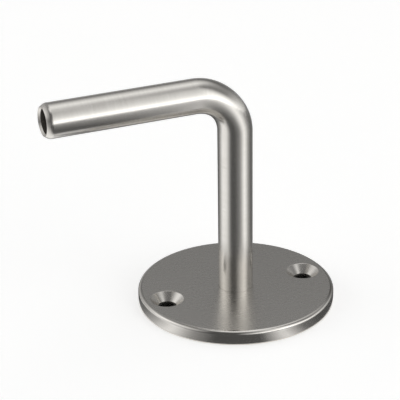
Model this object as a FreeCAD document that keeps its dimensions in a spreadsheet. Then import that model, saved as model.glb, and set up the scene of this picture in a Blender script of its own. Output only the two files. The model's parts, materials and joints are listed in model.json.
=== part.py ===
import FreeCAD, Part
import os

import Sketcher

# Handrail bracket: a tube bent through a right angle and standing in a round wall plate.
#
# Frame, in millimetres: the origin is the centre of the plate's back face, which lies
# against the wall. +Z points away from the wall, up the standing leg of the tube. The arm
# points along -X, and both screw holes lie on the X axis.
#
# Pieces, each one solid:
#   flange_plate  turned disc with a rounded front edge, two countersunk screw holes and a
#                 central seat that the tube passes into
#   bent_tube     one length of tube: leg, bend and arm, pressed slightly oval where it is
#                 bent, with a chamfered open mouth at the end of the arm
#   back_weld     ring of weld that joins the tube's foot to the plate from behind

DIMENSIONS = (
    # name, millimetres (or degrees), meaning
    ("plate_diameter", 80.0, "outside diameter of the wall plate"),
    ("plate_thickness", 6.0, "thickness of the wall plate"),
    ("plate_edge_round", 1.5, "radius of the plate's front edge"),
    ("plate_edge_break", 0.3, "chamfer that takes the burr off the plate's back edge"),
    ("hole_spacing", 60.5, "distance between the two screw holes"),
    ("screw_hole_diameter", 7.3, "through hole for a 6 mm screw"),
    ("countersink_diameter", 13.5, "mouth of the countersink"),
    ("countersink_angle", 90.0, "full angle of the countersink, in degrees"),
    ("tube_diameter", 14.0, "outside diameter of the tube"),
    ("tube_wall", 2.0, "wall of the tube"),
    ("arm_height", 92.0, "from the plate's back face to the arm's axis"),
    ("arm_reach", 79.0, "from the leg's axis to the arm's mouth"),
    ("bend_radius", 17.3, "radius of the tube's axis in the bend"),
    ("bend_flattening", 0.3, "how far the bend is pressed in, half-way round it"),
    ("bend_drift", 0.1, "how far the section moves towards the inside of the bend"),
    ("mouth_chamfer", 1.2, "how far the chamfer cuts into the wall at the mouth"),
    ("mouth_taper", 1.8, "length of that chamfer along the tube"),
    ("mouth_deburr", 0.3, "chamfer round the inside of the mouth"),
    ("seat_clearance", 0.1, "seat diameter less tube diameter"),
    ("seat_edge_break", 0.2, "chamfer round the front of the seat"),
    ("weld_groove", 2.0, "chamfer round the back of the seat, which the weld fills"),
    ("joint_recess", 0.6, "how far the tube's foot stays short of the wall"),
    ("cutter_overrun", 1.0, "how far a cutting solid runs past the face that it opens"),
)

TUBE_RADIUS = "Dimensions.tube_diameter / 2"
BORE_RADIUS = "(Dimensions.tube_diameter / 2 - Dimensions.tube_wall)"
SEAT_RADIUS = "(Dimensions.tube_diameter + Dimensions.seat_clearance) / 2"
BEND_START = "(Dimensions.arm_height - Dimensions.bend_radius)"

BEND_ANGLE = 90.0
BEND_SECTIONS = 6
ALONG_ARM = FreeCAD.Rotation(FreeCAD.Vector(0, 1, 0), -90)
ACROSS_BEND = FreeCAD.Rotation(FreeCAD.Vector(1, 0, 0), 90)
EDGE_TOLERANCE = 1e-6

# Where a sketch constraint takes hold of an edge.
START = 1
END = 2
CENTRE = 3
SKETCH_ORIGIN = (-1, 1)
SKETCH_X_AXIS = -1


def make_sheet(doc):
    """Write the driving dimensions into a spreadsheet, one named cell each."""
    sheet = doc.addObject("Spreadsheet::Sheet", "Dimensions")
    for row, (name, value, meaning) in enumerate(DIMENSIONS, start=1):
        sheet.set(f"A{row}", name)
        sheet.set(f"B{row}", str(value))
        sheet.set(f"C{row}", meaning)
        sheet.setAlias(f"B{row}", name)
    doc.recompute()
    return sheet


def bind(thing, **expressions):
    """Tie properties of an object to expressions; a double underscore stands for a dot."""
    for path, expression in expressions.items():
        thing.setExpression(path.replace("__", "."), expression)


def origin_plane(body, role):
    """Return one of the body's own origin planes, such as XY_Plane."""
    return next(f for f in body.Origin.OriginFeatures if f.Role == role)


def add_sketch(body, name, role):
    """Add an empty sketch on one of the body's origin planes."""
    sketch = body.newObject("Sketcher::SketchObject", name)
    sketch.AttachmentSupport = [(origin_plane(body, role), "")]
    sketch.MapMode = "FlatFace"
    return sketch


def constrain(sketch, name, constraint, expression):
    """Add a named constraint and tie its value to an expression."""
    index = sketch.addConstraint(constraint)
    sketch.renameConstraint(index, name)
    sketch.setExpression(f"Constraints.{name}", expression)


def circle_sketch(body, name, radius, offset=None):
    """Draw a circle on the XY plane, centred on the origin or offset along X."""
    sketch = add_sketch(body, name, "XY_Plane")
    centre = FreeCAD.Vector(sketch.evalExpression(offset) if offset else 0, 0, 0)
    size = sketch.evalExpression(radius)
    edge = sketch.addGeometry(Part.Circle(centre, FreeCAD.Vector(0, 0, 1), size))
    if offset is None:
        sketch.addConstraint(Sketcher.Constraint("Coincident", edge, CENTRE, *SKETCH_ORIGIN))
    else:
        on_axis = Sketcher.Constraint("PointOnObject", edge, CENTRE, SKETCH_X_AXIS)
        sketch.addConstraint(on_axis)
        across = Sketcher.Constraint("DistanceX", *SKETCH_ORIGIN, edge, CENTRE, centre.x)
        constrain(sketch, "offset", across, offset)
    constrain(sketch, "radius", Sketcher.Constraint("Radius", edge, size), radius)
    return sketch


def circular_edge(shape, radius, height):
    """Name the circular edge of this radius that is centred on Z at this height."""
    centre = FreeCAD.Vector(0, 0, height)
    for index, edge in enumerate(shape.Edges, start=1):
        curve = edge.Curve
        if not isinstance(curve, Part.Circle):
            continue
        same_size = abs(curve.Radius - radius) < EDGE_TOLERANCE
        if same_size and curve.Center.distanceToPoint(centre) < EDGE_TOLERANCE:
            return f"Edge{index}"
    raise ValueError(f"no circular edge of radius {radius} at height {height}")


def dress_edge(body, kind, name, base, edge, size):
    """Add a fillet or chamfer to one edge of the feature before it."""
    dressed = body.newObject(f"PartDesign::{kind}", name)
    dressed.Base = (base, [edge])
    bind(dressed, **{"Radius" if kind == "Fillet" else "Size": size})
    return dressed


def make_flange_plate(doc, sheet):
    """Turned disc with its seat for the tube and two countersunk screw holes."""
    body = doc.addObject("PartDesign::Body", "flange_plate")

    disc = body.newObject("PartDesign::Pad", "Disc")
    disc.Profile = circle_sketch(body, "DiscOutline", "Dimensions.plate_diameter / 2")
    bind(disc, Length="Dimensions.plate_thickness")

    seat = body.newObject("PartDesign::Pocket", "Seat")
    seat.Profile = circle_sketch(body, "SeatOutline", SEAT_RADIUS)
    seat.Reversed = True
    bind(seat, Length="Dimensions.plate_thickness")
    doc.recompute()

    rim = sheet.plate_diameter / 2
    seat_rim = sheet.evalExpression(SEAT_RADIUS)
    front = sheet.plate_thickness
    dressings = (
        ("Fillet", "FrontEdge", rim, front, "Dimensions.plate_edge_round"),
        ("Chamfer", "BackEdge", rim, 0.0, "Dimensions.plate_edge_break"),
        ("Chamfer", "SeatEdge", seat_rim, front, "Dimensions.seat_edge_break"),
        ("Chamfer", "WeldGroove", seat_rim, 0.0, "Dimensions.weld_groove"),
    )
    base = seat
    for kind, name, radius, height, size in dressings:
        edge = circular_edge(base.Shape, radius, height)
        base = dress_edge(body, kind, name, base, edge, size)
        doc.recompute()

    centre = circle_sketch(
        body, "ScrewHoleCentre", "Dimensions.screw_hole_diameter / 2",
        offset="Dimensions.hole_spacing / 2",
    )
    bind(centre, AttachmentOffset__Base__z="Dimensions.plate_thickness")
    doc.recompute()
    hole = body.newObject("PartDesign::Hole", "ScrewHole")
    hole.Profile = centre
    hole.ThreadType = "None"
    hole.DepthType = "ThroughAll"
    hole.HoleCutType = "Countersink"
    bind(
        hole,
        Diameter="Dimensions.screw_hole_diameter",
        HoleCutDiameter="Dimensions.countersink_diameter",
        HoleCutCountersinkAngle="Dimensions.countersink_angle",
    )

    pair = body.newObject("PartDesign::Mirrored", "ScrewHolePair")
    pair.Originals = [hole]
    pair.MirrorPlane = (origin_plane(body, "YZ_Plane"), [""])
    body.Tip = pair
    doc.recompute()
    return body


def bend_section(doc, name, radius, turn):
    """Place one section of the bend, turned this many degrees from the leg.

    The section is a circle where the bend meets the leg and the arm. Between them it is an
    ellipse, pressed in towards the tube's axis and grown sideways by as much, so the wall
    keeps its length round the section.
    """
    squeeze = f"sin({2 * turn})^2"
    centre = f"(Dimensions.bend_radius - Dimensions.bend_drift * {squeeze})"
    section = doc.addObject("Part::Ellipse", name)
    sideways = FreeCAD.Rotation(FreeCAD.Vector(0, 0, 1), 90)
    lean = FreeCAD.Rotation(FreeCAD.Vector(0, 1, 0), -turn)
    section.Placement = FreeCAD.Placement(FreeCAD.Vector(), lean * sideways)
    bind(
        section,
        MajorRadius=f"{radius} + Dimensions.bend_flattening * {squeeze}",
        MinorRadius=f"{radius} - Dimensions.bend_flattening * {squeeze}",
        Placement__Base__x=f"{centre} * cos({turn}) - Dimensions.bend_radius",
        Placement__Base__z=f"{BEND_START} + {centre} * sin({turn})",
    )
    return section


def make_bend(doc, name, axis, radius):
    """Sweep the changing section round the bend's axis."""
    step = BEND_ANGLE / BEND_SECTIONS
    bend = doc.addObject("Part::Sweep", name)
    bend.Sections = [
        bend_section(doc, f"{name}Section{index}", radius, index * step)
        for index in range(BEND_SECTIONS + 1)
    ]
    bend.Spine = (axis, ["Edge1"])
    bend.Solid = True
    return bend


def make_rod(doc, name, axis, radius, foot, mouth):
    """Make a solid rod of this radius along the whole axis of the tube."""
    leg = doc.addObject("Part::Cylinder", f"{name}Leg")
    bind(leg, Radius=radius, Height=f"{BEND_START} - {foot}", Placement__Base__z=foot)

    arm = doc.addObject("Part::Cylinder", f"{name}Arm")
    arm.Placement = FreeCAD.Placement(FreeCAD.Vector(), ALONG_ARM)
    bind(
        arm,
        Radius=radius,
        Height=f"{mouth} - Dimensions.bend_radius",
        Placement__Base__x="-Dimensions.bend_radius",
        Placement__Base__z="Dimensions.arm_height",
    )
    return [leg, make_bend(doc, f"{name}Bend", axis, radius), arm]


def make_mouth_cone(doc, name, start, inner, outer, length):
    """Make a cone on the arm's axis that opens or closes towards the mouth."""
    cone = doc.addObject("Part::Cone", name)
    cone.Placement = FreeCAD.Placement(FreeCAD.Vector(), ALONG_ARM)
    bind(
        cone,
        Radius1=inner,
        Radius2=outer,
        Height=length,
        Placement__Base__x=f"-({start})",
        Placement__Base__z="Dimensions.arm_height",
    )
    return cone


def fuse(doc, name, pieces):
    """Join several solids into one."""
    joined = doc.addObject("Part::MultiFuse", name)
    joined.Shapes = pieces
    joined.Refine = True
    return joined


def make_bent_tube(doc):
    """One length of tube: a solid rod round the whole axis, bored out by a thinner one."""
    axis = doc.addObject("Part::Circle", "BendAxis")
    axis.Angle1 = 0.0
    axis.Angle2 = BEND_ANGLE
    axis.Placement = FreeCAD.Placement(FreeCAD.Vector(), ACROSS_BEND)
    bind(
        axis,
        Radius="Dimensions.bend_radius",
        Placement__Base__x="-Dimensions.bend_radius",
        Placement__Base__z=BEND_START,
    )

    shoulder = "Dimensions.arm_reach - Dimensions.mouth_taper"
    outside = make_rod(
        doc, "Outside", axis, TUBE_RADIUS, "Dimensions.joint_recess", f"({shoulder})"
    )
    outside.append(make_mouth_cone(
        doc, "MouthChamfer", shoulder, TUBE_RADIUS,
        f"{TUBE_RADIUS} - Dimensions.mouth_chamfer", "Dimensions.mouth_taper",
    ))

    past_foot = "(Dimensions.joint_recess - Dimensions.cutter_overrun)"
    past_mouth = "(Dimensions.arm_reach + Dimensions.cutter_overrun)"
    flare = "(Dimensions.mouth_deburr + Dimensions.cutter_overrun)"
    bore = make_rod(doc, "Bore", axis, BORE_RADIUS, past_foot, past_mouth)
    bore.append(make_mouth_cone(
        doc, "MouthDeburr", "Dimensions.arm_reach - Dimensions.mouth_deburr",
        BORE_RADIUS, f"{BORE_RADIUS} + {flare}", flare,
    ))

    tube = doc.addObject("Part::Cut", "bent_tube")
    tube.Base = fuse(doc, "OutsideForm", outside)
    tube.Tool = fuse(doc, "BoreForm", bore)
    doc.recompute()
    return tube


def make_back_weld(doc, sheet):
    """Ring of weld that fills the plate's groove round the tube's foot."""
    foot = "Dimensions.joint_recess"
    top = "Dimensions.weld_groove"
    corners = (
        ("tube_top", TUBE_RADIUS, top),
        ("seat_top", SEAT_RADIUS, top),
        ("groove_foot", f"{SEAT_RADIUS} + {top} - {foot}", foot),
        ("tube_foot", TUBE_RADIUS, foot),
    )
    points = [
        FreeCAD.Vector(sheet.evalExpression(across), sheet.evalExpression(up))
        for _, across, up in corners
    ]

    body = doc.addObject("PartDesign::Body", "back_weld")
    sketch = add_sketch(body, "WeldSection", "XZ_Plane")
    sides = [
        sketch.addGeometry(Part.LineSegment(start, end))
        for start, end in zip(points, points[1:] + points[:1])
    ]
    for side, following in zip(sides, sides[1:] + sides[:1]):
        sketch.addConstraint(Sketcher.Constraint("Coincident", side, END, following, START))
    for side, start, (name, across, up) in zip(sides, points, corners):
        distance = Sketcher.Constraint("DistanceX", *SKETCH_ORIGIN, side, START, start.x)
        constrain(sketch, f"{name}_radius", distance, across)
        distance = Sketcher.Constraint("DistanceY", *SKETCH_ORIGIN, side, START, start.y)
        constrain(sketch, f"{name}_height", distance, up)

    ring = body.newObject("PartDesign::Revolution", "WeldRing")
    ring.Profile = sketch
    ring.ReferenceAxis = (sketch, ["V_Axis"])
    ring.Angle = 360.0
    doc.recompute()
    return body


def check_cuts(body):
    """Raise an error if a feature of the body after the first removes nothing."""
    features = [f for f in body.Group if f.isDerivedFrom("PartDesign::Feature")]
    for before, after in zip(features, features[1:]):
        if after.Shape.Volume >= before.Shape.Volume:
            raise ValueError(f"{after.Name} removes nothing from {before.Name}")


def check_document(doc, pieces):
    """Raise an error if anything failed to build, or if a piece isn't one sound solid."""
    for thing in doc.Objects:
        if "Invalid" in thing.State or "Error" in thing.State:
            raise ValueError(f"{thing.Name} failed: {thing.State}")
    for piece in pieces:
        shape = piece.Shape
        if shape.isNull() or not shape.isValid() or len(shape.Solids) != 1:
            raise ValueError(f"{piece.Name} isn't one sound solid")


def main():
    """Build the bracket and write each piece to its own STEP file."""
    doc = FreeCAD.newDocument("HandrailBracket")
    sheet = make_sheet(doc)
    plate = make_flange_plate(doc, sheet)
    tube = make_bent_tube(doc)
    weld = make_back_weld(doc, sheet)
    doc.recompute()

    pieces = (plate, tube, weld)
    check_cuts(plate)
    check_document(doc, pieces)
    os.makedirs("parts", exist_ok=True)
    for piece in pieces:
        piece.Label = piece.Name
        piece.Shape.exportStep(f"parts/{piece.Label}.step")
        print(f"{piece.Label}: {piece.Shape.Volume:.1f} cubic millimetres")


main()
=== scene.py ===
import json
import logging
import math
from contextlib import contextmanager
from dataclasses import dataclass, field
from enum import Enum
from typing import Any, Callable, Iterator

import bmesh
import bpy
from mathutils import Matrix, Vector

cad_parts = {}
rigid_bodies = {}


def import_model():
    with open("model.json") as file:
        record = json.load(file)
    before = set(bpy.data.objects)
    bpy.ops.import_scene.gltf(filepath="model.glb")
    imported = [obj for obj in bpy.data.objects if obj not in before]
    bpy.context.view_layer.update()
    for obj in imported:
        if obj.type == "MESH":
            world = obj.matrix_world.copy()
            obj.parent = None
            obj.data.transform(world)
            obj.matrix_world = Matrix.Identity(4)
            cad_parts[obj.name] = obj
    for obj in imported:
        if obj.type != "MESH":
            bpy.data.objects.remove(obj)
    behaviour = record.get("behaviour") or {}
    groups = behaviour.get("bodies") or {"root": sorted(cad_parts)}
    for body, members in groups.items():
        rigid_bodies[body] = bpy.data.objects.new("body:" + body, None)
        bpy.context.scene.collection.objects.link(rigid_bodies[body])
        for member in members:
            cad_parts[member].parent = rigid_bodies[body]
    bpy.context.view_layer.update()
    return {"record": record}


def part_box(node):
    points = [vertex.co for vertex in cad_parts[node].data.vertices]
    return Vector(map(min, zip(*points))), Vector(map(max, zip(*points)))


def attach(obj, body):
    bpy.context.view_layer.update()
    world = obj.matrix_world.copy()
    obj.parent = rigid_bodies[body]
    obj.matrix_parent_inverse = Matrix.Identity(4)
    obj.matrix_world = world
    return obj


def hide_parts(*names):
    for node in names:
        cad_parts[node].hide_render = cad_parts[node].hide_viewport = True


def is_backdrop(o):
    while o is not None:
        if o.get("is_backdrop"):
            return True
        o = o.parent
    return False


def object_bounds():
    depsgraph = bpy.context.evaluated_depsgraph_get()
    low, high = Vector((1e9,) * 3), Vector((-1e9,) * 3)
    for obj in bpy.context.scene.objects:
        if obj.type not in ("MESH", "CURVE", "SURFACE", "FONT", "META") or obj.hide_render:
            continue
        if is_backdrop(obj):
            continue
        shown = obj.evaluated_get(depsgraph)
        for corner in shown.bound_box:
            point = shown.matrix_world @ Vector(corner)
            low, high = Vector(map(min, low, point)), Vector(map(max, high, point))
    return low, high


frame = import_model()

log = logging.getLogger("handrail_bracket")

MM = 0.001
NEAR = 0.01 * MM
LEVEL = 0.9

Point = tuple[float, float, float]
Place = Callable[[Vector], bool]
FaceTest = Callable[[Any], bool]


# ---------------------------------------------------------------------------
# Modelling, as by hand
# ---------------------------------------------------------------------------

def take_only(piece: bpy.types.Object) -> None:
    """Deselect everything, then make this piece the selected and active one.

    Args:
        piece: The object that the next operators act on.
    """
    for other in bpy.context.scene.objects:
        other.select_set(False)
    piece.select_set(True)
    bpy.context.view_layer.objects.active = piece


@contextmanager
def editing(piece: bpy.types.Object) -> Iterator[None]:
    """Keep the piece in edit mode, by edges, with nothing selected at first.

    Args:
        piece: The mesh object to edit.
    """
    take_only(piece)
    bpy.context.tool_settings.mesh_select_mode = (False, True, False)
    bpy.ops.object.mode_set(mode="EDIT")
    bpy.ops.mesh.select_all(action="DESELECT")
    yield
    bpy.ops.object.mode_set(mode="OBJECT")


def pick_edges(piece: bpy.types.Object, wanted: Place) -> None:
    """Select the edges whose two ends both lie in the wanted place.

    Args:
        piece: The mesh object, in edit mode.
        wanted: Says whether a point lies in the wanted place.
    """
    bpy.context.tool_settings.mesh_select_mode = (False, True, False)
    mesh = bmesh.from_edit_mesh(piece.data)
    for edge in mesh.edges:
        edge.select_set(all(wanted(vert.co) for vert in edge.verts))
    mesh.select_flush_mode()
    bmesh.update_edit_mesh(piece.data)


def pick_faces(piece: bpy.types.Object, wanted: FaceTest) -> None:
    """Select the faces that a test accepts.

    Args:
        piece: The mesh object, in edit mode.
        wanted: Takes a face and says whether it is wanted.
    """
    bpy.context.tool_settings.mesh_select_mode = (False, False, True)
    mesh = bmesh.from_edit_mesh(piece.data)
    for face in mesh.faces:
        face.select_set(wanted(face))
    mesh.select_flush_mode()
    bmesh.update_edit_mesh(piece.data)


def radius_of(point: Vector, centre_x: float = 0.0) -> float:
    """Return a point's distance from an upright axis on the X axis."""
    return math.hypot(point.x - centre_x, point.y)


def ring_at(radius: float, height: float, centre_x: float = 0.0) -> Place:
    """Return a test for points on a level circle.

    Args:
        radius: Radius of the circle.
        height: Its height.
        centre_x: Where its upright axis crosses the X axis.

    Returns:
        A function that says whether a point lies on the circle.
    """
    def on_ring(point: Vector) -> bool:
        """Say whether the point lies on the circle."""
        same_radius = abs(radius_of(point, centre_x) - radius) < NEAR
        return same_radius and abs(point.z - height) < NEAR
    return on_ring


def add_ring(name: str, sides: int, radius: float, centre: Point) -> bpy.types.Object:
    """Add a level circle of edges as a new piece.

    Args:
        name: The piece's name.
        sides: How many edges it has.
        radius: Its radius.
        centre: Its centre.

    Returns:
        The new object, with its place in its mesh.
    """
    bpy.ops.object.select_all(action="DESELECT")
    bpy.ops.mesh.primitive_circle_add(
        vertices=sides, radius=radius, fill_type="NOTHING", location=centre
    )
    piece = bpy.context.object
    piece.name = name
    piece.data.name = name
    settle(piece)
    return piece


def settle(piece: bpy.types.Object) -> None:
    """Put the piece's place into its mesh, so that its object sits at the origin."""
    take_only(piece)
    bpy.ops.object.transform_apply(location=True, rotation=True, scale=True)


def draw_out(move: Point = (0.0, 0.0, 0.0), grow: float = 1.0, centre: Point = (0, 0, 0)) -> None:
    """Extrude the selected edges, then move them and scale them about an upright axis.

    Args:
        move: How far the new edges move.
        grow: By how much they grow sideways.
        centre: A point on the axis that they grow from.
    """
    bpy.ops.mesh.extrude_region_move(TRANSFORM_OT_translate={"value": move})
    if grow != 1.0:
        bpy.ops.transform.resize(value=(grow, grow, 1.0), center_override=centre)


def close_up(piece: bpy.types.Object) -> None:
    """Merge doubled points and turn all faces outwards.

    Args:
        piece: The mesh object, in object mode.
    """
    with editing(piece):
        bpy.ops.mesh.select_all(action="SELECT")
        bpy.ops.mesh.remove_doubles(threshold=0.1 * NEAR)
        bpy.ops.mesh.normals_make_consistent(inside=False)


def turn_up(sheet: bpy.types.Object) -> None:
    """Turn all faces of a level sheet upwards.

    Args:
        sheet: The mesh object, in object mode.
    """
    close_up(sheet)
    if sheet.data.polygons[0].normal.z < 0:
        with editing(sheet):
            bpy.ops.mesh.select_all(action="SELECT")
            bpy.ops.mesh.flip_normals()


def apply_modifier(piece: bpy.types.Object, kind: str, **settings: Any) -> None:
    """Add a modifier with its settings and apply it at once.

    Args:
        piece: The object that gets it.
        kind: The modifier's type.
        **settings: Its properties and their values.
    """
    take_only(piece)
    modifier = piece.modifiers.new(kind.title(), kind)
    for name, value in settings.items():
        setattr(modifier, name, value)
    bpy.ops.object.modifier_apply(modifier=modifier.name)


def shade(piece: bpy.types.Object, angle: float = 35.0) -> None:
    """Shade the rounds smoothly and keep the flats flat.

    Args:
        piece: The object to shade.
        angle: Edges sharper than this many degrees stay crisp.
    """
    take_only(piece)
    bpy.ops.object.shade_smooth_by_angle(angle=math.radians(angle))
    apply_modifier(piece, "WEIGHTED_NORMAL", mode="FACE_AREA", weight=50, keep_sharp=True)


def dress_faces(
    piece: bpy.types.Object, material: bpy.types.Material, wanted: FaceTest
) -> None:
    """Give a material to the faces that a test accepts.

    Args:
        piece: The mesh object, in object mode.
        material: The material that they get.
        wanted: Takes a face and says whether it gets the material.
    """
    slots = [slot.material for slot in piece.material_slots]
    if material not in slots:
        piece.data.materials.append(material)
        slots.append(material)
    with editing(piece):
        pick_faces(piece, wanted)
        piece.active_material_index = slots.index(material)
        bpy.ops.object.material_slot_assign()


# ---------------------------------------------------------------------------
# Finishes
# ---------------------------------------------------------------------------

def linear(hex_code: str) -> tuple[float, float, float, float]:
    """Turn an sRGB hex value into linear light.

    Args:
        hex_code: Six hex digits after a hash sign.

    Returns:
        Red, green, blue and alpha.
    """
    def channel(start: int) -> float:
        """Turn one pair of digits into linear light."""
        value = int(hex_code[start:start + 2], 16) / 255
        return value / 12.92 if value <= 0.04045 else ((value + 0.055) / 1.055) ** 2.4
    return channel(1), channel(3), channel(5), 1.0


def add_node(
    tree: bpy.types.NodeTree,
    kind: str,
    inputs: dict[str | int, Any] | None = None,
    **settings: Any,
) -> bpy.types.Node:
    """Add a node with its settings, and fill or link its inputs.

    Args:
        tree: The node tree.
        kind: The node's type name without its ShaderNode prefix.
        inputs: For each input socket, a value, or an output socket to link from.
        **settings: Properties of the node and their values.

    Returns:
        The new node.
    """
    node = tree.nodes.new(f"ShaderNode{kind}")
    for name, value in settings.items():
        setattr(node, name, value)
    for name, value in (inputs or {}).items():
        if isinstance(value, bpy.types.NodeSocket):
            tree.links.new(value, node.inputs[name])
        else:
            node.inputs[name].default_value = value
    return node


def new_material(name: str) -> tuple[bpy.types.Material, bpy.types.NodeTree]:
    """Make an empty node material.

    Args:
        name: The material's name.

    Returns:
        The material and its node tree.
    """
    material = bpy.data.materials.new(name)
    material.use_nodes = True
    material.node_tree.nodes.clear()
    return material, material.node_tree


class Lay(Enum):
    """Which way the fine marks of a metal surface run."""

    RANDOM = "random"
    ROUND_THE_AXIS = "round the axis"
    ROUND_THE_TUBE = "round the tube"
    ALONG_THE_TUBE = "along the tube"
    STRAIGHT = "straight"


@dataclass(frozen=True)
class SteelFinish:
    """A way in which stainless steel is finished: fine marks over a slow unevenness.

    Attributes:
        name: The material's name.
        lay: Which way the marks run.
        light: sRGB colour of the clean metal.
        shade: sRGB colour in the marks.
        roughness: Lowest and highest roughness.
        mark_width: Distance between marks, in metres.
        mark_length: Their length, in metres.
        mark_depth: Depth of the marks for the bump, in metres.
        cloud: Size of the slow unevenness of the finish, in metres.
        anisotropy: How far the gloss is drawn out across the marks.
    """

    MARKS_SHARE = 0.6
    DARKEST, LIGHTEST = 0.35, 0.62
    SMOOTHEST = 0.65
    ACROSS_THE_MARKS = 0.25

    name: str
    lay: Lay
    light: str = "#DAD7D2"
    shade: str = "#CFCBC5"
    roughness: tuple[float, float] = (0.22, 0.30)
    mark_width: float = 0.5 * MM
    mark_length: float = 8.0 * MM
    mark_depth: float = 0.002 * MM
    cloud: float = 9.0 * MM
    anisotropy: float = 0.0

    def stretched(self, tree: bpy.types.NodeTree) -> bpy.types.NodeSocket:
        """Build coordinates in which one unit is one mark wide and one mark long.

        Args:
            tree: The node tree.

        Returns:
            The socket that gives the stretched coordinates.
        """
        across, along = 1.0 / self.mark_width, 1.0 / self.mark_length
        if self.lay in (Lay.ROUND_THE_TUBE, Lay.ALONG_THE_TUBE):
            place = add_node(tree, "Attribute", attribute_name=BentTube.STRAIGHT).outputs["Vector"]
            round_tube = self.lay is Lay.ROUND_THE_TUBE
            scale = (along, along, across) if round_tube else (across, across, along)
        else:
            place = add_node(tree, "TexCoord").outputs["Object"]
            scale = (across,) * 3 if self.lay is Lay.RANDOM else (along, across, across)
        if self.lay is Lay.ROUND_THE_AXIS:
            parts = add_node(tree, "SeparateXYZ", {"Vector": place})
            level = add_node(
                tree, "CombineXYZ", {"X": parts.outputs["X"], "Y": parts.outputs["Y"]}
            )
            radius = add_node(
                tree, "VectorMath", {0: level.outputs["Vector"]}, operation="LENGTH"
            )
            place = add_node(
                tree, "CombineXYZ",
                {"X": radius.outputs["Value"], "Y": parts.outputs["Z"]},
            ).outputs["Vector"]
            scale = (across, across, across)
        return add_node(tree, "Mapping", {"Vector": place, "Scale": scale}).outputs["Vector"]

    def make(self) -> bpy.types.Material:
        """Build the material.

        Returns:
            The finished material.
        """
        material, tree = new_material(self.name)
        marks = add_node(
            tree, "TexNoise",
            {"Vector": self.stretched(tree), "Scale": 1.0, "Detail": 3.0, "Roughness": 0.6},
        ).outputs["Fac"]
        clouds = add_node(
            tree, "TexNoise",
            {
                "Vector": add_node(tree, "TexCoord").outputs["Object"],
                "Scale": 1.0 / self.cloud, "Detail": 2.0, "Roughness": 0.5,
            },
        ).outputs["Fac"]
        mixed = add_node(
            tree, "Math", {0: marks, 1: self.MARKS_SHARE}, operation="MULTIPLY"
        ).outputs["Value"]
        mixed = add_node(
            tree, "Math", {0: clouds, 1: 1.0 - self.MARKS_SHARE, 2: mixed},
            operation="MULTIPLY_ADD",
        ).outputs["Value"]
        colour = add_node(tree, "ValToRGB", {"Fac": mixed})
        stops = ((self.DARKEST, self.shade), (self.LIGHTEST, self.light))
        for element, (position, hex_code) in zip(colour.color_ramp.elements, stops):
            element.position = position
            element.color = linear(hex_code)
        low, high = self.roughness
        rough = add_node(
            tree, "MapRange",
            {
                "Value": mixed, "From Min": self.DARKEST, "From Max": self.SMOOTHEST,
                "To Min": high, "To Max": low,
            },
        )
        bump = add_node(
            tree, "Bump", {"Height": marks, "Distance": self.mark_depth, "Strength": 1.0}
        )
        shader = {
            "Base Color": colour.outputs["Color"],
            "Metallic": 1.0,
            "Roughness": rough.outputs["Result"],
            "Normal": bump.outputs["Normal"],
        }
        if self.anisotropy:
            shader["Anisotropic"] = self.anisotropy
            shader["Anisotropic Rotation"] = self.ACROSS_THE_MARKS
            shader["Tangent"] = add_node(
                tree, "Tangent", direction_type="RADIAL", axis="Z"
            ).outputs["Tangent"]
        steel = add_node(tree, "BsdfPrincipled", shader)
        add_node(tree, "OutputMaterial", {"Surface": steel.outputs["BSDF"]})
        return material


# Stainless steel sheet, satin ground with a fine belt: even grey with a soft gloss, in which
# the leg's reflection still reads. The marks of grit 320 stand 0.05 mm apart, which is too
# fine to show, so they are drawn ten times as coarse.
SATIN_FACE = SteelFinish(
    "stainless_steel_satin_ground_face", Lay.STRAIGHT, shade="#D5D2CD",
    roughness=(0.265, 0.285), mark_width=0.5 * MM, mark_length=14.0 * MM,
    mark_depth=0.0001 * MM,
)
# Stainless steel, turned on a lathe: sharper gloss with fine rings, nearly a mirror side on.
TURNED_RIM = SteelFinish(
    "stainless_steel_turned_rim", Lay.ROUND_THE_AXIS,
    roughness=(0.13, 0.17), mark_width=0.35 * MM, mark_depth=0.0003 * MM, anisotropy=0.9,
)
# Stainless steel, countersunk with a drill: soft gloss with fine chatter marks.
DRILLED_SINK = SteelFinish(
    "stainless_steel_drilled_sink", Lay.RANDOM,
    roughness=(0.22, 0.30), mark_width=0.4 * MM, mark_depth=0.001 * MM,
)
# Stainless steel, as rolled and pickled: flat, cold and dull, on the side to the wall.
ROLLED_BACK = SteelFinish(
    "stainless_steel_rolled_back", Lay.RANDOM,
    light="#C9C8C6", shade="#B3B1AE", roughness=(0.34, 0.45), mark_width=0.4 * MM,
)
# Stainless steel tube, satin ground as it turns: fine marks run round the tube, so bright and
# dark bands stay narrow across it and melt along it. Drawn coarser than grit 320, as above.
SATIN_TUBE = SteelFinish(
    "stainless_steel_satin_ground_tube", Lay.ROUND_THE_TUBE, shade="#D4D1CB",
    roughness=(0.225, 0.25), mark_width=0.45 * MM, mark_length=10.0 * MM,
    mark_depth=0.0001 * MM,
)
# The inside of welded stainless tube, as drawn: dull grey with marks along it, darkened further as
# painted shade, the shade that falls inside the bore, so that the mouth looks dark a short way in.
DRAWN_BORE = SteelFinish(
    "stainless_steel_drawn_bore", Lay.ALONG_THE_TUBE,
    light="#ABA7A1", shade="#8C8882", roughness=(0.45, 0.55), mark_width=0.5 * MM,
    mark_length=20.0 * MM,
)
# The end of the tube, faced and deburred: clean metal with a soft, even gloss.
FACED_END = SteelFinish(
    "stainless_steel_faced_end", Lay.RANDOM,
    roughness=(0.24, 0.30), mark_width=0.3 * MM, mark_depth=0.0001 * MM,
)
# Arc weld in stainless steel, pickled after welding: matt grey with a trace of straw colour.
PICKLED_WELD = SteelFinish(
    "stainless_steel_pickled_weld", Lay.RANDOM,
    light="#C4BDAF", shade="#8E8678", roughness=(0.38, 0.55), mark_width=0.6 * MM,
    mark_depth=0.01 * MM, cloud=2.5 * MM,
)


# ---------------------------------------------------------------------------
# The bracket
# ---------------------------------------------------------------------------

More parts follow.
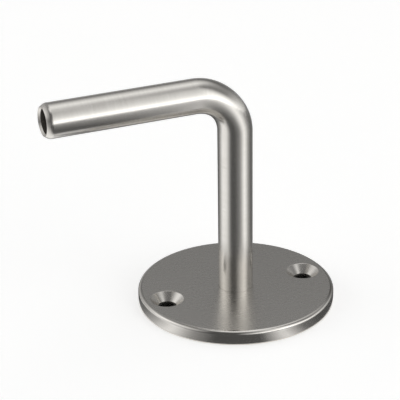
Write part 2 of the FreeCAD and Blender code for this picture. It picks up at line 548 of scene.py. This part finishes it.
def mount_size(mount: str, size: str) -> float:
    """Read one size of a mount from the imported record.

    Args:
        mount: The mount's name.
        size: The size's name, which ends in _mm.

    Returns:
        The size in metres.
    """
    mounts = {m["name"]: m for m in frame["record"]["mounts"]}
    return mounts[mount]["dims"][size] * MM


@dataclass
class FlangePlate:
    """Turned disc with a rounded front edge, two countersunk holes and a seat for the tube."""

    sides: int = 256
    edge_round: float = 1.5 * MM
    back_break: float = 0.3 * MM
    seat_radius: float = 7.03 * MM
    seat_break: float = 0.04 * MM
    weld_groove: float = 2.0 * MM
    sink_radius: float = 6.75 * MM
    rim_break: float = 0.15 * MM
    overrun: float = 1.0 * MM
    radius: float = field(init=False)
    thickness: float = field(init=False)
    hole_radius: float = field(init=False)
    hole_x: float = field(init=False)

    def __post_init__(self) -> None:
        """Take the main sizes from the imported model."""
        low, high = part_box("flange_plate")
        self.radius = (high.x - low.x) / 2
        self.thickness = high.z - low.z
        self.hole_radius = mount_size("fixing_holes", "hole_r_mm")
        self.hole_x = mount_size("fixing_holes", "spacing_x_mm") / 2

    def disc(self) -> bpy.types.Object:
        """Model the disc with its seat, before the screw holes.

        Returns:
            The disc.
        """
        disc = add_ring("plate", self.sides, self.seat_radius, (0.0, 0.0, 0.0))
        with editing(disc):
            bpy.ops.mesh.select_all(action="SELECT")
            draw_out(grow=self.radius / self.seat_radius)
            bpy.ops.mesh.select_all(action="SELECT")
            draw_out((0.0, 0.0, self.thickness))
        close_up(disc)
        edges = (
            (self.radius, self.thickness, self.edge_round, 8),
            (self.radius, 0.0, self.back_break, 1),
            (self.seat_radius, self.thickness, self.seat_break, 3),
            (self.seat_radius, 0.0, self.weld_groove, 1),
        )
        for radius, height, size, steps in edges:
            with editing(disc):
                pick_edges(disc, ring_at(radius, height))
                bpy.ops.mesh.bevel(offset=size, segments=steps, affect="EDGES", profile=0.5)
        return disc

    def cutter(self) -> bpy.types.Object:
        """Model the solid that one countersunk hole takes away.

        Returns:
            The cutter, on the side of the plate away from the arm.
        """
        top = self.thickness
        soft = self.rim_break
        sink_foot = top - (self.sink_radius - self.hole_radius)
        # Radius and height up the hole: each edge is rounded in steps, as shares of its break.
        outline = (
            (self.hole_radius + soft, 0.0),
            (self.hole_radius, soft),
            (self.hole_radius, sink_foot - 0.5 * soft),
            (self.hole_radius + 0.35 * soft, sink_foot + 0.35 * soft),
            (self.sink_radius - 0.7 * soft, top - 0.7 * soft),
            (self.sink_radius + 0.1 * soft, top - 0.15 * soft),
            (self.sink_radius + 0.6 * soft, top),
            (self.sink_radius + 0.6 * soft, top + self.overrun),
        )
        centre = (self.hole_x, 0.0, 0.0)
        start = self.hole_radius + soft
        cutter = add_ring("hole_cutter", 96, start, (self.hole_x, 0.0, -self.overrun))
        with editing(cutter):
            bpy.ops.mesh.select_all(action="SELECT")
            bpy.ops.mesh.edge_face_add()
            radius, height = start, -self.overrun
            for next_radius, next_height in outline:
                draw_out((0.0, 0.0, next_height - height), next_radius / radius, centre)
                radius, height = next_radius, next_height
        close_up(cutter)
        return cutter

    def build(self) -> bpy.types.Object:
        """Model the plate and give each of its surfaces a finish.

        Returns:
            The finished plate.
        """
        plate = self.disc()
        cutter = self.cutter()
        far_cutter = cutter.copy()
        far_cutter.data = cutter.data.copy()
        bpy.context.scene.collection.objects.link(far_cutter)
        far_cutter.location.x = -2 * self.hole_x
        settle(far_cutter)
        for tool in (cutter, far_cutter):
            apply_modifier(plate, "BOOLEAN", operation="DIFFERENCE", solver="EXACT", object=tool)
            bpy.data.objects.remove(tool)
        close_up(plate)
        shade(plate)
        self.dress(plate)
        return plate

    def dress(self, plate: bpy.types.Object) -> None:
        """Give each surface of the plate its finish.

        Args:
            plate: The finished mesh.
        """
        def in_hole(face: Any) -> bool:
            """Say whether a face belongs to a screw hole."""
            place = face.calc_center_median()
            side = math.copysign(self.hole_x, place.x)
            return radius_of(place, side) < self.sink_radius + self.rim_break

        dress_faces(plate, TURNED_RIM.make(), lambda face: True)
        dress_faces(plate, DRILLED_SINK.make(), in_hole)
        dress_faces(
            plate, SATIN_FACE.make(),
            lambda face: face.normal.z > LEVEL
            and face.calc_center_median().z > self.thickness - NEAR,
        )
        dress_faces(plate, ROLLED_BACK.make(), lambda face: face.normal.z < -LEVEL)


@dataclass
class BentTube:
    """One length of tube: leg, bend and arm, pressed slightly oval where it is bent."""

    STRAIGHT = "straight"
    FACED_SLOPE = -0.3

    sides: int = 128
    bend_steps: int = 48
    bend_radius: float = 17.3 * MM
    flattening: float = 0.3 * MM
    drift: float = 0.1 * MM
    mouth_chamfer: float = 1.2 * MM
    mouth_taper: float = 1.8 * MM
    mouth_sink: float = 0.65 * MM
    sink_depth: float = 0.9 * MM
    shoulder_round: float = 0.75 * MM
    lip_round: float = 0.08 * MM
    radius: float = field(init=False)
    wall: float = field(init=False)
    foot: float = field(init=False)
    arm_height: float = field(init=False)
    arm_reach: float = field(init=False)

    def __post_init__(self) -> None:
        """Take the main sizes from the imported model."""
        low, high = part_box("bent_tube")
        self.radius = high.x
        self.foot = low.z
        self.arm_height = high.z - self.radius
        self.arm_reach = -low.x
        self.wall = self.radius - mount_size("rail_end_bore", "r_mm")

    @property
    def bend_foot(self) -> float:
        """Height at which the bend starts."""
        return self.arm_height - self.bend_radius

    def build(self) -> bpy.types.Object:
        """Model the tube and give it its finishes.

        Returns:
            The finished tube.
        """
        tube = add_ring("tube", self.sides, self.radius, (0.0, 0.0, self.foot))
        with editing(tube):
            bpy.ops.mesh.select_all(action="SELECT")
            draw_out((0.0, 0.0, self.bend_foot - self.foot))
            bpy.ops.mesh.spin(
                steps=self.bend_steps, angle=math.radians(90.0),
                center=(-self.bend_radius, 0.0, self.bend_foot), axis=(0.0, 1.0, 0.0),
            )
            draw_out((self.bend_radius + self.mouth_taper - self.arm_reach, 0.0, 0.0))
            draw_out((self.sink_depth - self.mouth_taper, 0.0, 0.0))
            draw_out((-self.sink_depth, 0.0, 0.0))
        close_up(tube)
        self.press_bend(tube)
        apply_modifier(tube, "SOLIDIFY", thickness=self.wall, offset=-1.0, use_even_offset=True)
        close_up(tube)
        self.dress_mouth(tube)
        self.write_straight(tube)
        shade(tube, 28.0)
        self.dress(tube)
        return tube

    def press_bend(self, tube: bpy.types.Object) -> None:
        """Press each ring of the bend slightly oval, most half-way round it.

        Args:
            tube: The open skin of the tube.
        """
        step = math.radians(90.0) / self.bend_steps
        pivot = Vector((-self.bend_radius, 0.0, self.bend_foot))
        with editing(tube):
            for index in range(1, self.bend_steps):
                turn = index * step
                share = math.sin(2 * turn) ** 2
                outward = Vector((math.cos(turn), 0.0, math.sin(turn)))
                centre = pivot + outward * self.bend_radius
                forward = Vector((-math.sin(turn), 0.0, math.cos(turn)))
                pick_edges(
                    tube,
                    lambda point: abs((point - centre).dot(forward)) < NEAR
                    and (point - centre).length < 2 * self.radius,
                )
                squeeze = self.flattening * share / self.radius
                bpy.ops.transform.resize(
                    value=(1 - squeeze, 1 + squeeze, 1 - squeeze), center_override=centre
                )
                bpy.ops.transform.translate(value=-outward * self.drift * share)

    def ring_on_arm(self, radius: float, from_mouth: float) -> Place:
        """Return a test for points on a ring round the arm.

        Args:
            radius: The ring's radius.
            from_mouth: Its distance from the mouth.

        Returns:
            A function that says whether a point lies on the ring.
        """
        def on_ring(point: Vector) -> bool:
            """Say whether the point lies on the ring."""
            off_axis = math.hypot(point.y, point.z - self.arm_height)
            along = point.x + self.arm_reach - from_mouth
            return abs(along) < NEAR and abs(off_axis - radius) < NEAR
        return on_ring

    def dress_mouth(self, tube: bpy.types.Object) -> None:
        """Taper the mouth on the outside, then soften its edges.

        Args:
            tube: The tube with its wall.
        """
        lip = self.radius - self.mouth_chamfer
        bore = self.radius - self.wall
        half_way = self.radius - self.mouth_chamfer * (1 - self.sink_depth / self.mouth_taper)
        rings = (
            (self.radius, self.sink_depth, half_way),
            (self.radius, 0.0, lip),
            (bore, 0.0, bore + self.mouth_sink),
        )
        for radius, from_mouth, new_radius in rings:
            grow = new_radius / radius
            with editing(tube):
                pick_edges(tube, self.ring_on_arm(radius, from_mouth))
                bpy.ops.transform.resize(
                    value=(1.0, grow, grow),
                    center_override=(from_mouth - self.arm_reach, 0.0, self.arm_height),
                )
        edges = (
            (self.radius, self.mouth_taper, self.shoulder_round, 6),
            (lip, 0.0, self.lip_round, 2),
        )
        for radius, from_mouth, size, steps in edges:
            with editing(tube):
                pick_edges(tube, self.ring_on_arm(radius, from_mouth))
                bpy.ops.mesh.bevel(offset=size, segments=steps, affect="EDGES", profile=0.5)

    def write_straight(self, tube: bpy.types.Object) -> None:
        """Write each point's place on the tube before it was bent, for the finishes.

        Args:
            tube: The finished mesh.
        """
        places = tube.data.attributes.new(self.STRAIGHT, "FLOAT_VECTOR", "POINT")
        arc = self.bend_radius * math.radians(90.0)
        for vert, place in zip(tube.data.vertices, places.data):
            x, y, z = vert.co
            out = Vector((x + self.bend_radius, 0.0, z - self.bend_foot))
            if out.z <= 0:
                place.vector = (x, y, z)
            elif out.x <= 0:
                place.vector = (z - self.arm_height, y, self.bend_foot + arc - out.x)
            else:
                turn = math.atan2(out.z, out.x)
                along = self.bend_foot + turn * self.bend_radius
                place.vector = (out.length - self.bend_radius, y, along)

    def dress(self, tube: bpy.types.Object) -> None:
        """Give the outside and the mouth their finishes, and the bore its dull colour darkened
        with painted shade.

        Args:
            tube: The finished mesh.
        """
        inner = self.radius - 0.5 * self.wall
        places = [Vector(p.vector) for p in tube.data.attributes[self.STRAIGHT].data]

        def in_bore(face: Any) -> bool:
            """Say whether all of a face lies inside the middle of the wall."""
            return all(math.hypot(*places[v.index][:2]) < inner for v in face.verts)

        def at_mouth(face: Any) -> bool:
            """Say whether a face belongs to the faced end of the arm."""
            end = 2 * self.mouth_taper - self.arm_reach
            return face.normal.x < self.FACED_SLOPE and face.calc_center_median().x < end

        dress_faces(tube, SATIN_TUBE.make(), lambda face: True)
        # The bore's dark grey is partly its dull drawn finish and partly painted shade inside the
        # tube.
        dress_faces(tube, DRAWN_BORE.make(), in_bore)
        dress_faces(tube, FACED_END.make(), at_mouth)


@dataclass
class BackWeld:
    """Ring of weld that fills the groove round the tube's foot, with the ripples of the arc.

    The ripples reach over a share of the ring's width to each side of its middle, and each
    crest takes up a share of the ripples' pitch.
    """

    spokes: int = 216
    spokes_per_ripple: int = 4
    crown_steps: int = 6
    crown: float = 0.25 * MM
    ripple: float = 0.07 * MM
    ripple_reach: float = 0.4
    crest: float = 0.1
    seat_radius: float = 7.05 * MM
    tube_radius: float = 7.0 * MM
    foot: float = field(init=False)
    top: float = field(init=False)
    outer: float = field(init=False)

    def __post_init__(self) -> None:
        """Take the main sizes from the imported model."""
        low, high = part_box("back_weld")
        self.foot = low.z
        self.top = high.z
        self.outer = high.x

    def build(self) -> bpy.types.Object:
        """Model the ring of weld and give it its finish.

        Returns:
            The finished weld.
        """
        weld = add_ring("weld", self.spokes, self.tube_radius, (0.0, 0.0, self.top))
        width = self.outer - self.tube_radius
        outline = [(self.seat_radius, self.top), (self.outer, self.foot)]
        for index in range(1, self.crown_steps):
            share = index / self.crown_steps
            drop = self.crown * 4 * share * (1 - share)
            outline.append((self.outer - share * width, self.foot - drop))
        outline += [(self.tube_radius, self.foot), (self.tube_radius, self.top)]
        radius, height = self.tube_radius, self.top
        with editing(weld):
            bpy.ops.mesh.select_all(action="SELECT")
            for next_radius, next_height in outline:
                draw_out((0.0, 0.0, next_height - height), next_radius / radius)
                radius, height = next_radius, next_height
        close_up(weld)
        self.raise_ripples(weld)
        shade(weld, 60.0)
        dress_faces(weld, PICKLED_WELD.make(), lambda face: True)
        return weld

    def raise_ripples(self, weld: bpy.types.Object) -> None:
        """Raise every few spokes of the crown, so that the weld shows its ripples.

        Args:
            weld: The smooth ring.
        """
        pitch = 2 * math.pi / (self.spokes / self.spokes_per_ripple)
        middle = (self.tube_radius + self.outer) / 2
        reach = self.ripple_reach * (self.outer - self.tube_radius)

        def on_ripple(point: Vector) -> bool:
            """Say whether a point lies on the crest of a ripple."""
            turn = math.atan2(point.y, point.x) % pitch
            on_crest = min(turn, pitch - turn) < self.crest * pitch
            return on_crest and point.z < self.foot and abs(radius_of(point) - middle) < reach

        with editing(weld):
            pick_edges(weld, on_ripple)
            bpy.ops.transform.translate(value=(0.0, 0.0, -self.ripple))


# ---------------------------------------------------------------------------
# The studio
# ---------------------------------------------------------------------------

@dataclass(frozen=True)
class Viewpoint:
    """Where the camera stands, in degrees and metres; its lens and sensor are in millimetres."""

    turn: float = 22.3
    elevation: float = 25.2
    roll: float = -0.777
    distance: float = 0.7466
    lens: float = 167.4
    aim_across: float = -0.01416
    aim_height: float = 0.04454
    sensor: float = 36.0
    clip: tuple[float, float] = (0.01, 20.0)

    def away(self, azimuth: float = 0.0, elevation: float = 0.0) -> Vector:
        """Return a direction away from the object.

        Args:
            azimuth: Degrees round from the camera, positive to its right.
            elevation: Degrees above the floor.

        Returns:
            A vector of length one.
        """
        turn = math.radians(self.turn - azimuth)
        rise = math.radians(elevation)
        return Vector((
            -math.sin(turn) * math.cos(rise), -math.cos(turn) * math.cos(rise), math.sin(rise)
        ))

    def azimuth_of(self, point: Vector) -> float:
        """Return a point's azimuth round the bracket, positive to the camera's right."""
        forward = self.away()
        return math.degrees(math.atan2(forward.cross(point).z, forward.dot(point)))

    def place(self) -> bpy.types.Object:
        """Add the camera and make it the scene's.

        Returns:
            The camera.
        """
        data = bpy.data.cameras.new("camera")
        data.lens = self.lens
        data.sensor_width = self.sensor
        data.clip_start, data.clip_end = self.clip
        camera = bpy.data.objects.new("camera", data)
        bpy.context.scene.collection.objects.link(camera)
        back = self.away(0.0, self.elevation)
        right = self.away(90.0)
        up = back.cross(right)
        roll = math.radians(self.roll)
        across = right * math.cos(roll) + up * math.sin(roll)
        upward = up * math.cos(roll) - right * math.sin(roll)
        aim = right * self.aim_across + Vector((0.0, 0.0, self.aim_height))
        eye = aim + back * self.distance
        turned = Matrix((across, upward, back)).transposed()
        camera.matrix_world = Matrix.Translation(eye) @ turned.to_4x4()
        bpy.context.scene.camera = camera
        return camera


@dataclass(frozen=True)
class SoftBox:
    """A square soft light: where it stands round from the camera, and how bright it looks."""

    name: str
    azimuth: float
    elevation: float
    distance: float
    width: float
    height: float
    brightness: float


@dataclass(frozen=True)
class Loop:
    """A level ring of a screen, with its tones from behind the bracket round by the left."""

    radius: float
    height: float
    tones: tuple[float, ...]

    def tone(self, azimuth: float) -> float:
        """Return the tone at an azimuth, between the two nearest given ones.

        Args:
            azimuth: Degrees round from the camera, positive to its right.

        Returns:
            How bright the screen looks there, where 1 is white.
        """
        count = len(self.tones)
        place = (azimuth + 180.0) / 360.0 * count
        first = math.floor(place)
        share = place - first
        return self.tones[first % count] * (1 - share) + self.tones[(first + 1) % count] * share


@dataclass(frozen=True)
class Screen:
    """Glowing sheet round the bracket, which the camera itself never sees: the tent is white cloth
    lit from behind and lights the bracket; the cards on the floor give no light and are painted
    reflections, dark and bright patches that only the metal shows.
    """

    name: str
    loops: tuple[Loop, ...]
    gives_light: bool
    crown: bool = False

    GLOW = "glow"

    def hang(self, view: "Viewpoint", sides: int = 120) -> bpy.types.Object:
        """Model the screen from its loops and light it.

        Args:
            view: The camera's place, from which azimuths count.
            sides: How many edges each loop has.

        Returns:
            The screen.
        """
        first = self.loops[0]
        screen = add_ring(self.name, sides, first.radius, (0.0, 0.0, first.height))
        with editing(screen):
            bpy.ops.mesh.select_all(action="SELECT")
            for below, above in zip(self.loops, self.loops[1:]):
                rise = (0.0, 0.0, above.height - below.height)
                draw_out(rise, above.radius / below.radius)
            if self.crown:
                bpy.ops.mesh.edge_face_add()
        self.write_glow(screen, view)
        self.dress(screen)
        return screen

    def write_glow(self, screen: bpy.types.Object, view: "Viewpoint") -> None:
        """Write each point's tone for the material.

        Args:
            screen: The screen's mesh.
            view: The camera's place, from which azimuths count.
        """
        glow = screen.data.attributes.new(self.GLOW, "FLOAT", "POINT")
        for vert, place in zip(screen.data.vertices, glow.data):
            loop = min(
                self.loops,
                key=lambda near: abs(near.height - vert.co.z)
                + abs(near.radius - radius_of(vert.co)),
            )
            place.value = loop.tone(view.azimuth_of(vert.co))

    def dress(self, screen: bpy.types.Object) -> None:
        """Give the screen its glow, and hide it where it isn't wanted.

        Args:
            screen: The screen's mesh.
        """
        material, tree = new_material(f"{self.name}_lit_cloth")
        tone = add_node(tree, "Attribute", attribute_name=self.GLOW).outputs["Fac"]
        glow = add_node(
            tree, "Emission", {"Color": (1, 1, 1, 1), "Strength": tone}
        ).outputs["Emission"]
        add_node(tree, "OutputMaterial", {"Surface": glow})
        screen.data.materials.append(material)
        # The cards are seen only in reflections and give no light: painted reflections in the
        # metal. The tent also lights the bracket.
        screen.visible_camera = False
        screen.visible_transmission = self.gives_light
        screen.visible_diffuse = self.gives_light
        screen.visible_shadow = False
        screen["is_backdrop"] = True


def ring_of_tent(elevation: float, tones: tuple[float, ...]) -> Loop:
    """Return a loop of the tent, at the same distance from the bracket as the others.

    Args:
        elevation: Degrees above the floor.
        tones: The loop's tones.

    Returns:
        The loop.
    """
    rise = math.radians(elevation)
    return Loop(TENT_RADIUS * math.cos(rise), TENT_RADIUS * math.sin(rise), tones)


TENT_RADIUS = 3.0
CARD_HEIGHT = 0.4 * MM
NEAR_CARD_RADIUS, FAR_CARD_RADIUS, CARDS_END = 40.5 * MM, 52.0 * MM, 1.6

# Tones of the cards on the floor, evenly spaced, from behind the bracket round by the left. The
# cards are painted reflections: seen only in the metal, they paint its dark and bright bands.
NEAR_TONES = (
    0.3, 0.3, 0.3, 0.3, 0.3, 0.1, 0.1, 0.2, 0.5, 1.1, 0.4, 0.1,
    0.1, 0.1, 1.0, 0.2, 0.1, 0.1, 0.1, 0.1, 0.3, 0.3, 0.3, 0.3,
)
FAR_TONES = (0.1, 0.1, 0.3, 1.2, 1.1, 0.1, 0.1, 0.3, 1.4, 0.4, 0.1, 0.3)

# Tones of the tent at each elevation, every 30 degrees in the same order.
TENT_TONES = (
    (-1.0, (0.6, 0.6, 0.4, 0.5, 0.3, 0.1, 0.1, 2.4, 2.4, 1.7, 0.9, 0.2)),
    (27.0, (0.1, 0.3, 0.9, 1.7, 1.1, 0.1, 0.1, 0.8, 1.6, 0.2, 0.3, 0.1)),
    (63.0, (1.1, 0.3, 0.1, 0.1, 0.1, 0.1, 0.1, 0.1, 0.8, 0.1, 0.5, 1.2)),
    (82.0, (1.1,)),
)


@dataclass
class Studio:
    """White floor in a light tent, with cards of painted reflection round the plate, and the
    camera.
    """

    view: Viewpoint = field(default_factory=Viewpoint)
    screens: tuple[Screen, ...] = (
        Screen(
            "near_cards",
            (
                Loop(NEAR_CARD_RADIUS, CARD_HEIGHT, NEAR_TONES),
                Loop(FAR_CARD_RADIUS, CARD_HEIGHT, NEAR_TONES),
            ),
            gives_light=False,
        ),
        Screen(
            "far_cards",
            (
                Loop(FAR_CARD_RADIUS, CARD_HEIGHT, FAR_TONES),
                Loop(CARDS_END, CARD_HEIGHT, FAR_TONES),
            ),
            gives_light=False,
        ),
        Screen(
            "light_tent",
            tuple(ring_of_tent(elevation, tones) for elevation, tones in TENT_TONES),
            gives_light=True, crown=True,
        ),
    )
    under_box: SoftBox = SoftBox("under_softbox", 150.0, -50.0, 1.2, 1.0, 1.0, 1.5)
    under_world: float = 0.4
    floor_colour: str = "#EDEDEC"
    floor_lift: float = 0.5
    floor_gap: float = 0.05 * MM
    floor_radius: float = 6.0
    floor_opening: float = 39.5 * MM
    # Gap under the black discs of painted shade below the screw holes.
    pad_gap: float = 0.02 * MM

    def build(self) -> None:
        """Set up the floor, the lights, the world and the camera."""
        self.lay_floor()
        self.lay_pads()
        for screen in self.screens:
            screen.hang(self.view)
        self.hang_box(self.under_box)
        self.light_world()
        self.view.place()
        bpy.context.scene.view_settings.view_transform = "Standard"

    def lay_floor(self) -> None:
        """Add the floor: it looks white to camera and reflections, and keeps shadows.

        It is open under the plate, so that light from below reaches the plate's back.
        """
        floor = add_ring("floor", 180, self.floor_opening, (0.0, 0.0, -self.floor_gap))
        with editing(floor):
            bpy.ops.mesh.select_all(action="SELECT")
            draw_out(grow=self.floor_radius / self.floor_opening)
        turn_up(floor)
        material, tree = new_material("matt_white_paper")
        rays = add_node(tree, "LightPath").outputs
        seen = add_node(
            tree, "Math",
            {0: rays["Is Camera Ray"], 1: rays["Is Glossy Ray"]}, operation="MAXIMUM",
        )
        seen = add_node(
            tree, "Math",
            {0: seen.outputs["Value"], 1: rays["Is Transmission Ray"]}, operation="MAXIMUM",
        )
        lift = add_node(
            tree, "Math", {0: seen.outputs["Value"], 1: self.floor_lift}, operation="MULTIPLY"
        )
        paper = add_node(
            tree, "BsdfDiffuse", {"Color": linear(self.floor_colour)}
        ).outputs["BSDF"]
        glow = add_node(
            tree, "Emission", {"Color": (1, 1, 1, 1), "Strength": lift.outputs["Value"]}
        ).outputs["Emission"]
        both = add_node(tree, "AddShader", {0: paper, 1: glow}).outputs["Shader"]
        clear = add_node(tree, "BsdfTransparent").outputs["BSDF"]
        behind = add_node(tree, "NewGeometry").outputs["Backfacing"]
        surface = add_node(tree, "MixShader", {0: behind, 1: both, 2: clear})
        add_node(tree, "OutputMaterial", {"Surface": surface.outputs["Shader"]})
        floor.data.materials.append(material)
        floor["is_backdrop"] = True

    def lay_pads(self) -> None:
        """Add a black disc of painted shade under each screw hole, standing for the shadow down in
        the hole, seen from above only.
        """
        radius = mount_size("fixing_holes", "hole_r_mm")
        hole_x = mount_size("fixing_holes", "spacing_x_mm") / 2
        material, tree = new_material("black_felt")
        # Painted shade: near-black stands for the shadow deep in each screw hole.
        felt = add_node(tree, "BsdfDiffuse", {"Color": linear("#0D0D0D")}).outputs["BSDF"]
        clear = add_node(tree, "BsdfTransparent").outputs["BSDF"]
        behind = add_node(tree, "NewGeometry").outputs["Backfacing"]
        surface = add_node(tree, "MixShader", {0: behind, 1: felt, 2: clear})
        add_node(tree, "OutputMaterial", {"Surface": surface.outputs["Shader"]})
        for name, place in (("left_pad", -hole_x), ("right_pad", hole_x)):
            pad = add_ring(name, 60, radius, (place, 0.0, -self.pad_gap))
            with editing(pad):
                bpy.ops.mesh.select_all(action="SELECT")
                bpy.ops.mesh.edge_face_add()
            turn_up(pad)
            pad.data.materials.append(material)
            pad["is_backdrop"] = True

    def hang_box(self, box: SoftBox) -> None:
        """Add one soft light, turned to the middle of the bracket.

        Args:
            box: Its place, size and brightness.
        """
        data = bpy.data.lights.new(box.name, "AREA")
        data.shape = "RECTANGLE"
        data.size, data.size_y = box.width, box.height
        data.energy = box.brightness * math.pi * box.width * box.height
        light = bpy.data.objects.new(box.name, data)
        bpy.context.scene.collection.objects.link(light)
        out = self.view.away(box.azimuth, box.elevation)
        low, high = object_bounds()
        light.location = (low + high) / 2 + out * box.distance
        light.rotation_euler = out.to_track_quat("Z", "Y").to_euler()

    def light_world(self) -> None:
        """Give the world an even grey light from below; the camera sees it white."""
        world = bpy.data.worlds.new("studio_world")
        world.use_nodes = True
        tree = world.node_tree
        tree.nodes.clear()
        seen = add_node(tree, "LightPath").outputs["Is Camera Ray"]
        strength = add_node(
            tree, "MapRange", {"Value": seen, "To Min": self.under_world, "To Max": 1.0}
        )
        sky = add_node(
            tree, "Background", {"Color": (1, 1, 1, 1), "Strength": strength.outputs["Result"]}
        )
        add_node(tree, "OutputWorld", {"Surface": sky.outputs["Background"]})
        bpy.context.scene.world = world


def seat(piece: bpy.types.Object, node: str) -> None:
    """Let a finished piece stand for its CAD node.

    Args:
        piece: The finished piece.
        node: The CAD node that it replaces.
    """
    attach(piece, "root")
    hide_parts(node)
    log.info("%s: %d faces", piece.name, len(piece.data.polygons))


def main() -> None:
    """Build the bracket and the studio."""
    logging.basicConfig(level=logging.INFO, format="%(name)s: %(message)s")
    seat(FlangePlate().build(), "flange_plate")
    seat(BentTube().build(), "bent_tube")
    seat(BackWeld().build(), "back_weld")
    Studio().build()


if __name__ == "__main__":
    main()
